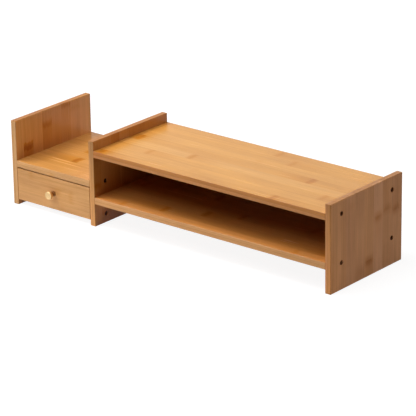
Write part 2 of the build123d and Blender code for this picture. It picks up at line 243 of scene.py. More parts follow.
# A crisp knuckle and a smudged one: core and reach in half lengths, how it pales to the sides of
# the strip from its middle, and how much of its rim's tint it shows
KNUCKLE_CORE = (0.85, 0.0)
KNUCKLE_REACH = (1.7, 2.5)
KNUCKLE_FALL = (-1.2, -3.6)
KNUCKLE_RIM = (1.0, 0.2)
KNUCKLE_MIDDLE = 1.06
# How dark a knuckle is for its rim's tint to be full
RIM_FULL = 0.4
# How dark its band, its fine ridge and the shade beside it are, and what is left of it on an edge
BAND_TONE = 0.76
RIDGE_TONE = 0.18
RIDGE_REACH = 0.32
SHADE_TONE = 0.42
EDGE_SHARE = 0.2
# The shade beside a knuckle: from where to where it comes in, and from where to where it fades
SHADE_START = (-0.004, 0.002)
SHADE_FADE = (0.004, 0.085)

# Tints of cool and of warm bamboo, of a knuckle's rim, and of the painted shade in the corner at a
# board's low end
COOL_TINT = (0.98, 1.03, 1.27)
WARM_TINT = (1.02, 0.97, 0.73)
CLOUD_WARMTH = 0.3
RIM_TINT = (1.0, 0.88, 0.46)
CORNER_PAINTED_SHADE_TINT = (0.99, 0.89, 0.80)
# How far along the board the painted shade in the corner reaches
CORNER_PAINTED_SHADE_LENGTH = 0.038
# How much of a change in brightness each channel takes, because darker bamboo is warmer
CHANNEL_SHARES = {"Red": 0.85, "Green": 1.1, "Blue": 1.5}
# Part of the normal along an axis from which a face begins to count as turned to it, and from which
# it counts in full. Then the same for a flat face against a rounded edge, which gets painted shade.
TURNED = (0.5, 0.9)
FLAT = (0.80, 0.99)
ROUNDED_EDGE_PAINTED_SHADE = 0.72
# What the streaks, the clouds and the end grain add to the roughness
STREAK_ROUGHNESS = 0.12
CLOUD_ROUGHNESS = 0.10
END_ROUGHNESS = 0.12
# What the lines, the glue lines, the bundles and the knuckles add to the relief
LINE_HEIGHT = 0.5
GLUE_HEIGHT = -0.7
BUNDLE_HEIGHT = -0.35
KNUCKLE_HEIGHT = 0.5

# Marks in a metre: stains and specks on a metal, its tool marks, and the rings of a turned piece
STAINS = 420.0
SPECKS = 2600.0
TOOL_MARKS = 900.0
RINGS = 3500.0
# From which noise on a stain and a speck begin, up to which they grow, and how far each one covers
STAIN_REACH = (0.45, 0.75)
SPECK_REACH = (0.6, 0.8)
STAIN_COVER = 0.6
SPECK_COVER = 0.25
# What the marks and the stains add to the roughness, and the specks to the relief
MARK_ROUGHNESS = 0.25
STAIN_ROUGHNESS = 0.12
SPECK_HEIGHT = 0.3
# Roughness of the metals, and the tint of what blackened steel mirrors at a low angle
BRASS_GLOSS = 0.3
STEEL_GLOSS = 0.45
ZINC_GLOSS = 0.35
STEEL_GLANCE = (0.9, 0.6, 0.5)
# Tint of the painted shade on the knob's neck behind its head, its start as a share of the knob's
# depth, and how it comes in
NECK_PAINTED_SHADE_TINT = (0.42, 0.30, 0.22)
NECK_PAINTED_SHADE_START = 0.55
NECK_PAINTED_SHADE_REACH = (-0.0006, 0.0010)

# Grain of the beech: length and width of one mark, and the detail of its noise
BEECH_STREAKS = (0.030, 0.0012, 2.0)
BEECH_FLECKS = (0.0022, 0.0003, 1.0)
# Noise at which a fleck begins and is full, how far it covers, its colour, and how deep it lies
FLECK_REACH = (0.60, 0.72)
FLECK_COVER = 0.55
FLECK_COLOUR = (0.42, 0.24, 0.12)
FLECK_HEIGHT = -0.6
# From the least to the greatest of the streaks: brightness, and roughness
BEECH_TONES = (0.25, 0.75, 0.84, 1.12)
BEECH_ROUGHNESS = (0.2, 0.8, 0.55, 0.72)

# Depth of the fine relief of each finish
BAMBOO_RELIEF = 0.00004
METAL_RELIEF = 0.00001
BEECH_RELIEF = 0.00005

FLOOR_RADIUS = 4.0
FLOOR_SIDES = 96
# What the camera sees of the floor: a colour that takes the shadow, and a glow from near to far
SHADOW_COLOUR = (0.2, 0.2, 0.2)
NEAR_GLOW = (0.9, 0.9, 0.9)
FAR_GLOW = (1.0, 1.0, 1.0)
GLOW_REACH = (0.8, 1.6)
# The part of the floor that throws light up on the riser's front: its middle, its half lengths, and
# the share of them that has its full colour
REFLECTOR_PLACE = (-0.10, -0.27, 0.0)
REFLECTOR_SIZE = (0.85, 0.35, 1.0)
REFLECTOR_CORE = 0.25

# Name, place, aim, size and share of the power of each soft lamp
LAMPS = (
    ("Overhead lamp", (-0.63, -1.385, 2.5), (-0.63, -1.385, 0), (1.94, 3.43), 0.35),
    ("Left lamp", (-1.6, -0.6, 2.2), (0, 0, 0), (0.8, 1.2), 0.215),
    ("Right fill", (3.2, 0.8, 1.4), (0, 0, 0.1), (1.2, 0.8), 0.13),
    ("Front fill", (-2.6, -3.05, 0.22), (0, 0, 0.08), (1.0, 0.3), 0.06),
    ("Back fill", (0, 3.0, 1.2), (0, 0, 0.08), (1.6, 0.8), 0.075),
)

SENSOR_WIDTH = 36.0
CAMERA_CLIP = (0.1, 50.0)
# Places of the nodes in the node editor
NODE_STEP = (180, -220)
NODES_IN_ROW = 12


def colour_property(name, description, default):
    return FloatVectorProperty(
        name=name, description=description, default=default, subtype="COLOR", size=3, min=0, max=1
    )


def length_property(name, description, default):
    return FloatProperty(name=name, description=description, default=default, min=0, unit="LENGTH")


def share_property(name, description, default):
    return FloatProperty(
        name=name, description=description, default=default, min=0, max=1, subtype="FACTOR"
    )


class RiserBamboo(PropertyGroup):
    """Sizes and colours of the laminated bamboo"""

    strip_width: length_property("Strip width", "Width of one bamboo strip", 0.024)
    ply_thickness: length_property("Ply thickness", "Thickness of one layer of strips", 0.006)
    knuckle_spacing: length_property("Knuckle spacing", "From knuckle to knuckle on a strip", 0.36)
    knuckle_length: length_property("Knuckle length", "Length of a knuckle's dark band", 0.011)
    colour: colour_property("Bamboo", "Lacquered bamboo in an even light", (0.748, 0.373, 0.101))
    knuckle_colour: colour_property("Knuckles", "Dark bands of the knuckles", (0.44, 0.140, 0.011))
    strip_contrast: share_property("Strip contrast", "How much the strips differ in tone", 0.45)
    gloss: share_property("Roughness", "Roughness of the satin lacquer", 0.24)


class RiserHardware(PropertyGroup):
    """Colours of the knob, the screws and the dowels"""

    brass: colour_property("Brass", "Satin brass of the knob", (0.68, 0.465, 0.225))
    dull_brass: colour_property("Dull brass", "The knob where it has dulled", (0.60, 0.385, 0.165))
    black_steel: colour_property("Black steel", "Blackened wood screws", (0.052, 0.016, 0.004))
    worn_steel: colour_property("Worn steel", "Wood screws where worn", (0.11, 0.046, 0.018))
    zinc: colour_property("Zinc", "Zinc plate of the knob's screw", (0.62, 0.63, 0.64))
    dull_zinc: colour_property("Dull zinc", "Zinc plate where it has dulled", (0.48, 0.49, 0.47))
    beech: colour_property("Beech", "Raw beech of the dowels", (0.70, 0.50, 0.31))


class RiserStudio(PropertyGroup):
    """Camera, lamps and floor of the studio picture"""

    azimuth: FloatProperty(
        name="Azimuth", description="Turn of the camera about the riser",
        default=math.radians(39.723), subtype="ANGLE",
    )
    elevation: FloatProperty(
        name="Elevation", description="Height of the camera above the horizon",
        default=math.radians(20.587), subtype="ANGLE",
    )
    roll: FloatProperty(
        name="Roll", description="Tilt of the camera about its line of sight",
        default=math.radians(-0.853), subtype="ANGLE",
    )
    distance: length_property("Distance", "From the camera to the point that it looks at", 4.3126)
    lens: FloatProperty(
        name="Lens", description="Focal length", default=225.52, min=1, unit="CAMERA"
    )
    aim: FloatVectorProperty(
        name="Aim", description="The point that the camera looks at",
        default=(0.0142, 0.007, 0.04302), size=3, subtype="TRANSLATION", unit="LENGTH",
    )
    floor_colour: colour_property("Floor", "Pale floor as it lights the riser", (0.20, 0.20, 0.20))
    reflector_colour: colour_property("Reflector", "Floor before the riser", (0.80, 0.80, 0.80))
    lamp_power: FloatProperty(
        name="Lamp power", description="Power of all soft lamps together", default=200.0, min=0,
        unit="POWER",
    )


class Nodes:
    """Adds nodes to a tree and links them, so that a material reads from top to bottom"""

    def __init__(self, tree):
        self.tree = tree

    def add(self, kind, inputs=None, **settings):
        node = self.tree.nodes.new(kind)
        row, column = divmod(len(self.tree.nodes), NODES_IN_ROW)
        node.location = (NODE_STEP[0] * column, NODE_STEP[1] * row)
        for name, value in settings.items():
            setattr(node, name, value)
        for name, value in (inputs or {}).items():
            self.set(node.inputs[name], value)
        return node

    def set(self, socket, value):
        if isinstance(value, bpy.types.NodeSocket):
            self.tree.links.new(value, socket)
        else:
            socket.default_value = value

    def math(self, operation, *values):
        node = self.add("ShaderNodeMath", operation=operation)
        for socket, value in zip(node.inputs, values):
            self.set(socket, value)
        return node.outputs[0]

    def vector(self, operation, *values):
        node = self.add("ShaderNodeVectorMath", operation=operation)
        for socket, value in zip(node.inputs, values):
            self.set(socket, value)
        return node.outputs[0]

    def scaled(self, vector, factor):
        return self.vector("MULTIPLY", vector, (factor, factor, factor))

    def total(self, start, *terms):
        """A start plus each value times its weight"""
        for value, weight in terms:
            start = self.math("MULTIPLY_ADD", value, weight, start)
        return start

    def split(self, vector):
        return self.add("ShaderNodeSeparateXYZ", {"Vector": vector}).outputs

    def combine(self, x, y, z):
        return self.add("ShaderNodeCombineXYZ", {"X": x, "Y": y, "Z": z}).outputs[0]

    def noise(self, vector, detail=2.0, roughness=0.5):
        inputs = {"Vector": vector, "Scale": 1.0, "Detail": detail, "Roughness": roughness}
        return self.add("ShaderNodeTexNoise", inputs).outputs[0]

    def ramp(self, value, low, high, out_low=0.0, out_high=1.0, smooth=True):
        inputs = {
            "Value": value, "From Min": low, "From Max": high, "To Min": out_low, "To Max": out_high
        }
        kind = "SMOOTHSTEP" if smooth else "LINEAR"
        return self.add("ShaderNodeMapRange", inputs, interpolation_type=kind).outputs[0]

    def between(self, factor, first, second):
        node = self.add("ShaderNodeMix", data_type="FLOAT")
        for index, value in ((0, factor), (2, first), (3, second)):
            self.set(node.inputs[index], value)
        return node.outputs[0]

    def blend(self, factor, first, second, mode="MIX"):
        node = self.add("ShaderNodeMix", data_type="RGBA", blend_type=mode)
        for index, value in ((0, factor), (6, first), (7, second)):
            self.set(node.inputs[index], value)
        return node.outputs[2]

    def tinted(self, colour, tint, share=1.0):
        """A colour times a tint, as far as the share goes"""
        return self.blend(share, colour, tint, "MULTIPLY")

    def group(self, tree, values):
        """A node group with its inputs set"""
        node = self.add("ShaderNodeGroup", node_tree=tree)
        for socket, value in values.items():
            self.set(node.inputs[socket], value)
        return node.outputs


def opaque(colour):
    return (*colour, 1.0)


def new_group(name, inputs, outputs):
    """A node group with its sockets: inputs and outputs map a name to float, vector or colour"""
    kinds = {"float": "NodeSocketFloat", "vector": "NodeSocketVector", "colour": "NodeSocketColor"}
    group = bpy.data.node_groups.new(name, "ShaderNodeTree")
    for socket, kind in inputs.items():
        group.interface.new_socket(name=socket, in_out="INPUT", socket_type=kinds[kind])
    for socket, kind in outputs.items():
        group.interface.new_socket(name=socket, in_out="OUTPUT", socket_type=kinds[kind])
    nodes = Nodes(group)
    source = nodes.add("NodeGroupInput")
    target = nodes.add("NodeGroupOutput")
    return nodes, source.outputs, target.inputs


def strip_layout_group():
    """Which strip and ply a point of a board is in, and how near it is to a glue line"""
    group = bpy.data.node_groups.get("Strip layout")
    if group:
        return group
    nodes, given, result = new_group(
        "Strip layout",
        {"Position": "vector", "Strip width": "float", "Ply thickness": "float", "Strips": "float"},
        {
            "Place in table": "float",
            "Seed": "float",
            "Place in strip": "float",
            "Glue line": "float",
        },
    )
    place = nodes.split(given["Position"])
    across = nodes.math("DIVIDE", place["Y"], given["Strip width"])
    depth = nodes.math("DIVIDE", place["Z"], given["Ply thickness"])
    strip = nodes.math("FLOOR", across)
    ply = nodes.math("FLOOR", depth)
    entry = nodes.math("MULTIPLY_ADD", ply, PLY_SHIFT, nodes.math("ADD", strip, 0.5))
    entry = nodes.math("DIVIDE", entry, given["Strips"])
    nodes.set(result["Place in table"], nodes.math("FRACT", entry))
    nodes.set(result["Seed"], nodes.math("MULTIPLY_ADD", ply, PLY_SEED, strip))
    nodes.set(result["Place in strip"], nodes.math("SUBTRACT", nodes.math("FRACT", across), 0.5))
    side = nodes.math("MULTIPLY", nodes.math("PINGPONG", across, 0.5), given["Strip width"])
    face = nodes.math("MULTIPLY", nodes.math("PINGPONG", depth, 0.5), given["Ply thickness"])
    side_line = nodes.ramp(side, *STRIP_GLUE, 1.0, 0.0)
    face_line = nodes.ramp(face, *PLY_GLUE, 1.0, 0.0)
    nodes.set(result["Glue line"], nodes.math("MAXIMUM", side_line, face_line))
    return nodes.tree


def grain_noises(nodes, place, own):
    """Dark fibre ends, fine lines, broad streaks and slow clouds, all drawn out along the board"""
    along = nodes.math("ADD", place["X"], own)
    noises = []
    for length, width, detail in (FIBRES, LINES, STREAKS, CLOUDS):
        stretched = nodes.combine(
            nodes.math("DIVIDE", along, length),
            nodes.math("DIVIDE", place["Y"], width),
            nodes.math("DIVIDE", place["Z"], width),
        )
        noises.append(nodes.math("SUBTRACT", nodes.noise(stretched, detail), 0.5))
    return noises


def knuckle_darkness(nodes, given, along, start, bowed, bow, lines, streaks):
    """How much the nearest knuckle darkens a point: a band across the strip with a fine ridge,
    and a shade that fades to one side"""
    turn = nodes.math("SUBTRACT", nodes.math("DIVIDE", along, given["Knuckle spacing"]), start)
    nearest = nodes.math("SUBTRACT", turn, nodes.math("ROUND", turn))
    offset = nodes.math("MULTIPLY", nearest, given["Knuckle spacing"])
    offset = nodes.total(offset, (streaks, STREAK_WANDER), (lines, LINE_WANDER))
    offset = nodes.total(offset, (nodes.math("MULTIPLY", bowed, bow), KNUCKLE_BOW))
    signed = nodes.math("MULTIPLY_ADD", given["Knuckle strength"], 2.0, -1.0)
    strength = nodes.math("ABSOLUTE", signed)

    half = nodes.math("MULTIPLY", given["Knuckle length"], 0.5)
    steps = nodes.math("DIVIDE", nodes.math("ABSOLUTE", offset), half)
    core = nodes.math("MULTIPLY", strength, nodes.between(given["Softness"], *KNUCKLE_CORE))
    reach = nodes.between(given["Softness"], *KNUCKLE_REACH)
    band = nodes.ramp(steps, core, reach, 1.0, 0.0)
    ridge = nodes.math("MULTIPLY", nodes.ramp(steps, 0.0, RIDGE_REACH, 1.0, 0.0), strength)
    sided = nodes.math("MULTIPLY", offset, nodes.math("SIGN", signed))
    fading = nodes.ramp(sided, *SHADE_FADE, 1.0, 0.0)
    shade = nodes.math("MULTIPLY", fading, nodes.ramp(sided, *SHADE_START))

    dark = nodes.math("MULTIPLY", band, BAND_TONE)
    dark = nodes.total(dark, (ridge, RIDGE_TONE), (shade, SHADE_TONE))
    dark = nodes.math("MULTIPLY", dark, strength)
    grain = nodes.math("ADD", nodes.math("ADD", lines, streaks), 1.0)
    dark = nodes.math("MULTIPLY", dark, grain)
    fall = nodes.between(given["Softness"], *KNUCKLE_FALL)
    return nodes.math("MULTIPLY", dark, nodes.math("MULTIPLY_ADD", bowed, fall, KNUCKLE_MIDDLE))


def bamboo_brightness(nodes, given, tone, lean, bundles, lines, streaks, clouds):
    """Brightness of a point from its strip, its grain and the glue lines, as a factor"""
    tone = nodes.math("SUBTRACT", tone, 0.5)
    bright = nodes.math("MULTIPLY_ADD", tone, given["Contrast"], 1.0)
    lean = nodes.math("MULTIPLY", lean, LEAN_TONE)
    bright = nodes.math("MULTIPLY_ADD", given["Place in strip"], lean, bright)
    figure = nodes.total(lines, (nodes.math("ADD", streaks, clouds), BROAD_FIGURE))
    figure = nodes.math("MULTIPLY", figure, FIGURE_TONE)
    bright = nodes.total(bright, (figure, given["Figure"]), (bundles, BUNDLE_TONE))
    glued = nodes.between(given["Glue line"], 1.0, GLUE_TONE)
    return nodes.math("MULTIPLY", bright, glued)


def bamboo_surface_group():
    """Colour, roughness and relief of lacquered bamboo, one strip beside another"""
    group = bpy.data.node_groups.get("Bamboo surface")
    if group:
        return group
    nodes, given, result = new_group(
        "Bamboo surface",
        {
            "Position": "vector",
            "Normal": "vector",
            "Board": "float",
            "Seed": "float",
            "Place in strip": "float",
            "Glue line": "float",
            "Strip": "colour",
            "Knuckle strength": "float",
            "Knuckle spacing": "float",
            "Knuckle length": "float",
            "Softness": "float",
            "Colour": "colour",
            "Knuckle colour": "colour",
            "Roughness": "float",
            "Contrast": "float",
            "Figure": "float",
            "Slope": "float",
            "Edge slope": "float",
            "Corner": "float",
            "Edge colour": "colour",
            "End colour": "colour",
            "Hidden colour": "colour",
        },
        {"Colour": "colour", "Roughness": "float", "Height": "float"},
    )
    place = nodes.split(given["Position"])
    facing = nodes.split(given["Normal"])
    strip = nodes.add("ShaderNodeSeparateColor", {"Color": given["Strip"]}).outputs
    own = nodes.math("MULTIPLY", given["Seed"], STRIP_SEED)
    own = nodes.total(own, (given["Board"], BOARD_SEED))
    bowed = nodes.math("MULTIPLY", given["Place in strip"], given["Place in strip"])

    def luck(offset):
        """A number from -0.5 to 0.5 that is the strip's own"""
        value = nodes.total(nodes.math("ADD", own, offset), (given["Seed"], LUCK_STEP))
        drawn = nodes.add("ShaderNodeTexWhiteNoise", {"W": value}, noise_dimensions="1D")
        return nodes.math("SUBTRACT", drawn.outputs["Value"], 0.5)

    fibres, lines, streaks, clouds = grain_noises(nodes, place, own)
    bundles = nodes.ramp(fibres, *BUNDLES)
    end = nodes.ramp(nodes.math("ABSOLUTE", facing["X"]), *TURNED)
    edge = nodes.ramp(nodes.math("ABSOLUTE", facing["Y"]), *TURNED)
    hidden = nodes.ramp(facing["Z"], *TURNED)

    dark = knuckle_darkness(
        nodes, given, place["X"], strip["Green"], bowed, luck(BOW_DRAW), lines, streaks
    )
    dark = nodes.math("MULTIPLY", dark, nodes.between(edge, 1.0, EDGE_SHARE))
    dark = nodes.math("MINIMUM", nodes.math("MAXIMUM", dark, 0.0), 1.0)

    warmth = nodes.total(strip["Blue"], (clouds, CLOUD_WARMTH))
    warm = nodes.blend(warmth, opaque(COOL_TINT), opaque(WARM_TINT))
    colour = nodes.tinted(given["Colour"], warm)
    rim = nodes.ramp(dark, 0.0, RIM_FULL, smooth=False)
    rim = nodes.math("MULTIPLY", rim, nodes.between(given["Softness"], *KNUCKLE_RIM))
    colour = nodes.tinted(colour, opaque(RIM_TINT), rim)
    colour = nodes.blend(dark, colour, given["Knuckle colour"])
    # Painted shade: the corner at the board's low end, where it meets an upright, is darkened and
    # warmed
    corner = nodes.ramp(place["X"], 0.0, CORNER_PAINTED_SHADE_LENGTH, 1.0, 0.0)
    corner = nodes.math("MULTIPLY", corner, given["Corner"])
    colour = nodes.tinted(colour, opaque(CORNER_PAINTED_SHADE_TINT), corner)
    for side, tint in ((end, "End colour"), (edge, "Edge colour"), (hidden, "Hidden colour")):
        colour = nodes.tinted(colour, given[tint], side)

    # Brightness, which falls on rounded edges as painted shade, and the painted light and shade
    # that slope from the low end of the board
    bright = bamboo_brightness(
        nodes, given, strip["Red"], luck(LEAN_DRAW), bundles, lines, streaks, clouds
    )
    flat = nodes.math("ABSOLUTE", facing["X"])
    for axis in ("Y", "Z"):
        flat = nodes.math("MAXIMUM", flat, nodes.math("ABSOLUTE", facing[axis]))
    bright = nodes.math("MULTIPLY", bright, nodes.ramp(flat, *FLAT, ROUNDED_EDGE_PAINTED_SHADE, 1.0))
    # Painted light and shade: the brightness changes along the board by the slopes, more on the
    # edges
    change = nodes.math("SUBTRACT", bright, 1.0)
    slope = nodes.math("MULTIPLY_ADD", edge, given["Edge slope"], given["Slope"])
    level = nodes.math("MULTIPLY_ADD", place["X"], slope, 1.0)
    channels = {}
    for name, share in CHANNEL_SHARES.items():
        channel = nodes.math("MULTIPLY_ADD", change, share, 1.0)
        channels[name] = nodes.math("MULTIPLY", channel, level)
    factor = nodes.add("ShaderNodeCombineColor", channels).outputs[0]
    nodes.set(result["Colour"], nodes.tinted(colour, factor))

    rough = nodes.total(given["Roughness"], (streaks, STREAK_ROUGHNESS), (clouds, CLOUD_ROUGHNESS))
    nodes.set(result["Roughness"], nodes.total(rough, (end, END_ROUGHNESS)))
    relief = nodes.math("MULTIPLY", lines, LINE_HEIGHT)
    relief = nodes.total(relief, (given["Glue line"], GLUE_HEIGHT), (bundles, BUNDLE_HEIGHT))
    nodes.set(result["Height"], nodes.total(relief, (dark, KNUCKLE_HEIGHT)))
    return nodes.tree


def new_material(name):
    material = bpy.data.materials.new(name)
    material.use_nodes = True
    material.node_tree.nodes.clear()
    nodes = Nodes(material.node_tree)
    surface = nodes.add("ShaderNodeBsdfPrincipled")
    nodes.add("ShaderNodeOutputMaterial", {"Surface": surface.outputs[0]})
    return material, nodes, surface


def add_bump(nodes, surface, height, distance):
    inputs = {"Strength": 1.0, "Distance": distance, "Height": height}
    nodes.set(surface.inputs["Normal"], nodes.add("ShaderNodeBump", inputs).outputs[0])


def board_position(nodes, node, axes, first_strip):
    """Place and facing of a point of a board: along the grain, across the strips, into the board"""
    low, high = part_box(node)
    coordinates = nodes.add("ShaderNodeTexCoord").outputs
    scale = [1.0, 1.0, 1.0]
    shift = [-value for value in low]
    for axis in axes:
        if axis.startswith("-"):
            number = "XYZ".index(axis[1])
            scale[number] = -1.0
            shift[number] = high[number]
    shift["XYZ".index(axes[1][-1])] += first_strip
    inputs = {"Vector": coordinates["Object"], "Location": shift, "Scale": scale}
    moved = nodes.add("ShaderNodeMapping", inputs).outputs[0]
    turned = nodes.vector("MULTIPLY", coordinates["Normal"], scale)
    vectors = []
    for vector in (moved, turned):
        parts = nodes.split(vector)
        vectors.append(nodes.combine(*(parts[axis[-1]] for axis in axes)))
    return vectors


def bamboo(
    node,
    axes,
    tint=(1, 1, 1),
    edge=(0.93, 0.94, 1.05),
    end=(0.74, 0.64, 0.46),
    hidden=(1, 1, 1),
    figure=1.0,
    slope=0.0,
    edge_slope=0.0,
    corner=0.0,
    softness=0.0,
    ior=1.28,
    first_strip=0.006,
):
    """Lacquered bamboo for one board.

    tint: multiplies the colour of the whole board
    edge, end, hidden: multiply it on the long edges, the end grain and the face opposite the show
        face
    figure: strength of the streaks
    slope, edge_slope: painted light and shade, the brightness that a metre from the low end adds,
    to all faces and to the edges
    corner: how far painted shade darkens the corner at the low end
    softness: how far the knuckles are smudged
    ior: strength of the lacquer's reflection
    first_strip: what is cut from the strip at the low side
    """
    look = bpy.context.scene.riser_bamboo
    material, nodes, surface = new_material(f"Bamboo of {node}")
    position, normal = board_position(nodes, node, axes, first_strip)
    board = sorted(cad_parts).index(node)
    strips = STRIPS.get(node, OTHER_STRIPS)
    start = 0 if node in STRIPS else board % len(strips)

    layout = nodes.group(strip_layout_group(), {
        "Position": position,
        "Strip width": look.strip_width,
        "Ply thickness": look.ply_thickness,
        "Strips": float(len(strips)),
    })
    table = nodes.add("ShaderNodeValToRGB", {"Fac": layout["Place in table"]})
    table.color_ramp.interpolation = "CONSTANT"
    stops = table.color_ramp.elements
    while len(stops) < len(strips):
        stops.new(1.0)
    for number, stop in enumerate(stops):
        tone, knuckle, strength, warmth = strips[(number + start) % len(strips)]
        stop.position = number / len(strips)
        stop.color = (tone, knuckle / look.knuckle_spacing % 1.0, warmth, strength / 2 + 0.5)

    finish = nodes.group(bamboo_surface_group(), {
        "Position": position,
        "Normal": normal,
        "Board": float(board),
        "Seed": layout["Seed"],
        "Place in strip": layout["Place in strip"],
        "Glue line": layout["Glue line"],
        "Strip": table.outputs["Color"],
        "Knuckle strength": table.outputs["Alpha"],
        "Knuckle spacing": look.knuckle_spacing,
        "Knuckle length": look.knuckle_length,
        "Softness": softness,
        "Colour": opaque(a * b for a, b in zip(look.colour, tint)),
        "Knuckle colour": opaque(a * b for a, b in zip(look.knuckle_colour, tint)),
        "Roughness": look.gloss,
        "Contrast": look.strip_contrast,
        "Figure": figure,
        "Slope": slope,
        "Edge slope": edge_slope,
        "Corner": corner,
        "Edge colour": opaque(edge),
        "End colour": opaque(end),
        "Hidden colour": opaque(hidden),
    })
    surface.inputs["IOR"].default_value = ior
    nodes.set(surface.inputs["Base Color"], finish["Colour"])
    nodes.set(surface.inputs["Roughness"], finish["Roughness"])
    add_bump(nodes, surface, finish["Height"], BAMBOO_RELIEF)
    return material


def metal_surface_group():
    """Colour, roughness and relief of a metal from its tool marks and its stains"""
    group = bpy.data.node_groups.get("Metal surface")
    if group:
        return group
    nodes, given, result = new_group(
        "Metal surface",
        {
            "Marks": "float",
            "Position": "vector",
            "Colour": "colour",
            "Stain": "colour",
            "Roughness": "float",
        },
        {"Colour": "colour", "Roughness": "float", "Height": "float"},
    )
    stains = nodes.noise(nodes.scaled(given["Position"], STAINS), 3.0, 0.6)
    specks = nodes.noise(nodes.scaled(given["Position"], SPECKS), 1.0)
    stained = nodes.ramp(specks, *SPECK_REACH, 0.0, SPECK_COVER)
    stained = nodes.total(stained, (nodes.ramp(stains, *STAIN_REACH), STAIN_COVER))
    nodes.set(result["Colour"], nodes.blend(stained, given["Colour"], given["Stain"]))
    marks = nodes.math("SUBTRACT", given["Marks"], 0.5)
    rough = nodes.total(given["Roughness"], (marks, MARK_ROUGHNESS), (stained, STAIN_ROUGHNESS))
    nodes.set(result["Roughness"], rough)
    nodes.set(result["Height"], nodes.total(given["Marks"], (specks, SPECK_HEIGHT)))
    return nodes.tree


def metal(name, colour, stain, roughness, centre=None, painted_shade_from=None, glance=(1, 1, 1)):
    """A metal with fine tool marks.

    centre: a point on the axis, along Y, of the rings of a turned piece
    painted_shade_from: the place along Y behind which painted shade darkens it
    glance: tint of what it mirrors at a low angle
    """
    material, nodes, surface = new_material(name)
    position = nodes.add("ShaderNodeTexCoord").outputs["Object"]
    if centre:
        inputs = {"Vector": position, "Location": [-value for value in centre]}
        place = nodes.split(nodes.add("ShaderNodeMapping", inputs).outputs[0])
        square = nodes.math("MULTIPLY", place["Z"], place["Z"])
        square = nodes.math("MULTIPLY_ADD", place["X"], place["X"], square)
        radius = nodes.math("SQRT", square)
        rings = nodes.math("MULTIPLY", nodes.math("ADD", radius, place["Y"]), RINGS)
        marks = nodes.noise(nodes.combine(rings, 0.0, 0.0), 2.0)
    else:
        marks = nodes.noise(nodes.scaled(position, TOOL_MARKS), 3.0)
    finish = nodes.group(metal_surface_group(), {
        "Marks": marks,
        "Position": position,
        "Colour": opaque(colour),
        "Stain": opaque(stain),
        "Roughness": roughness,
    })
    shown = finish["Colour"]
    # Painted shade: the neck behind the knob's head is darkened, as it lies in the head's shadow
    if painted_shade_from:
        limits = (painted_shade_from + reach for reach in NECK_PAINTED_SHADE_REACH)
        dulled = nodes.ramp(nodes.split(position)["Y"], *limits)
        shown = nodes.tinted(shown, opaque(NECK_PAINTED_SHADE_TINT), dulled)
    nodes.set(surface.inputs["Metallic"], 1.0)
    nodes.set(surface.inputs["Specular Tint"], opaque(glance))
    nodes.set(surface.inputs["Base Color"], shown)
    nodes.set(surface.inputs["Roughness"], finish["Roughness"])
    add_bump(nodes, surface, finish["Height"], METAL_RELIEF)
    return material


def beech(node, axis, colour):
    """Raw beech turned to a dowel along one axis, with its short dark flecks"""
    material, nodes, surface = new_material(f"Beech of {node}")
    position = nodes.add("ShaderNodeTexCoord").outputs["Object"]

    def grain(length, width, detail):
        scale = [1 / width] * 3
        scale["XYZ".index(axis)] = 1 / length
        return nodes.noise(nodes.vector("MULTIPLY", position, scale), detail)

    streaks = grain(*BEECH_STREAKS)
    flecks = nodes.ramp(grain(*BEECH_FLECKS), *FLECK_REACH)
    bright = nodes.ramp(streaks, *BEECH_TONES, smooth=False)
    factor = nodes.add("ShaderNodeCombineColor", {"Red": bright, "Green": bright, "Blue": bright})
    wood = nodes.tinted(opaque(colour), factor.outputs[0])
    wood = nodes.blend(nodes.math("MULTIPLY", flecks, FLECK_COVER), wood, opaque(FLECK_COLOUR))
    nodes.set(surface.inputs["Base Color"], wood)
    nodes.set(surface.inputs["Roughness"], nodes.ramp(streaks, *BEECH_ROUGHNESS))
    add_bump(nodes, surface, nodes.total(streaks, (flecks, FLECK_HEIGHT)), BEECH_RELIEF)
    return material


def paint(node, material):
    """Gives a CAD piece its finish"""
    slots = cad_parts[node].data.materials
    slots.clear()
    slots.append(material)


class RISER_OT_finish_uprights(Operator):
    """Finish the three uprights, with their grain running up"""

    bl_idname = "riser.finish_uprights"
    bl_label = "Finish uprights"

    def execute(self, context):
        for node, look in UPRIGHT_LOOKS.items():
            paint(node, bamboo(node, STANDING, **look))
        return {"FINISHED"}


class RISER_OT_finish_boards(Operator):
    """Finish the boards between the uprights, with their grain running along the riser"""

    bl_idname = "riser.finish_boards"
    bl_label = "Finish boards"

    def execute(self, context):
        for node, look in BOARD_LOOKS.items():
            paint(node, bamboo(node, LYING, **look))
        return {"FINISHED"}


class RISER_OT_finish_back_panels(Operator):
    """Finish the thin back panels"""

    bl_idname = "riser.finish_back_panels"
    bl_label = "Finish back panels"

    def execute(self, context):
        for node in BACK_PANELS:
            paint(node, bamboo(node, FACING_BACK, **BACK_PANEL_LOOK))
        return {"FINISHED"}


class RISER_OT_finish_drawer_front(Operator):
    """Finish the drawer front, with its grain running along the riser"""

    bl_idname = "riser.finish_drawer_front"
    bl_label = "Finish drawer front"

    def execute(self, context):
        paint("drawer_front", bamboo("drawer_front", FACING_FRONT, **DRAWER_FRONT_LOOK))
        return {"FINISHED"}


class RISER_OT_finish_drawer_box(Operator):
    """Finish the walls and the bottom of the drawer"""

    bl_idname = "riser.finish_drawer_box"
    bl_label = "Finish drawer box"

    def execute(self, context):
        for node in DRAWER_WALLS:
            axes = FACING_FRONT if node == "drawer_back" else FACING_SIDE
            paint(node, bamboo(node, axes))
        paint("drawer_bottom", bamboo("drawer_bottom", LYING))
        return {"FINISHED"}


class RISER_OT_finish_dowels(Operator):
    """Finish the hidden beech dowels"""

    bl_idname = "riser.finish_dowels"
    bl_label = "Finish dowels"

    def execute(self, context):
        for node, axis in DOWELS.items():
            paint(node, beech(node, axis, context.scene.riser_hardware.beech))
        return {"FINISHED"}


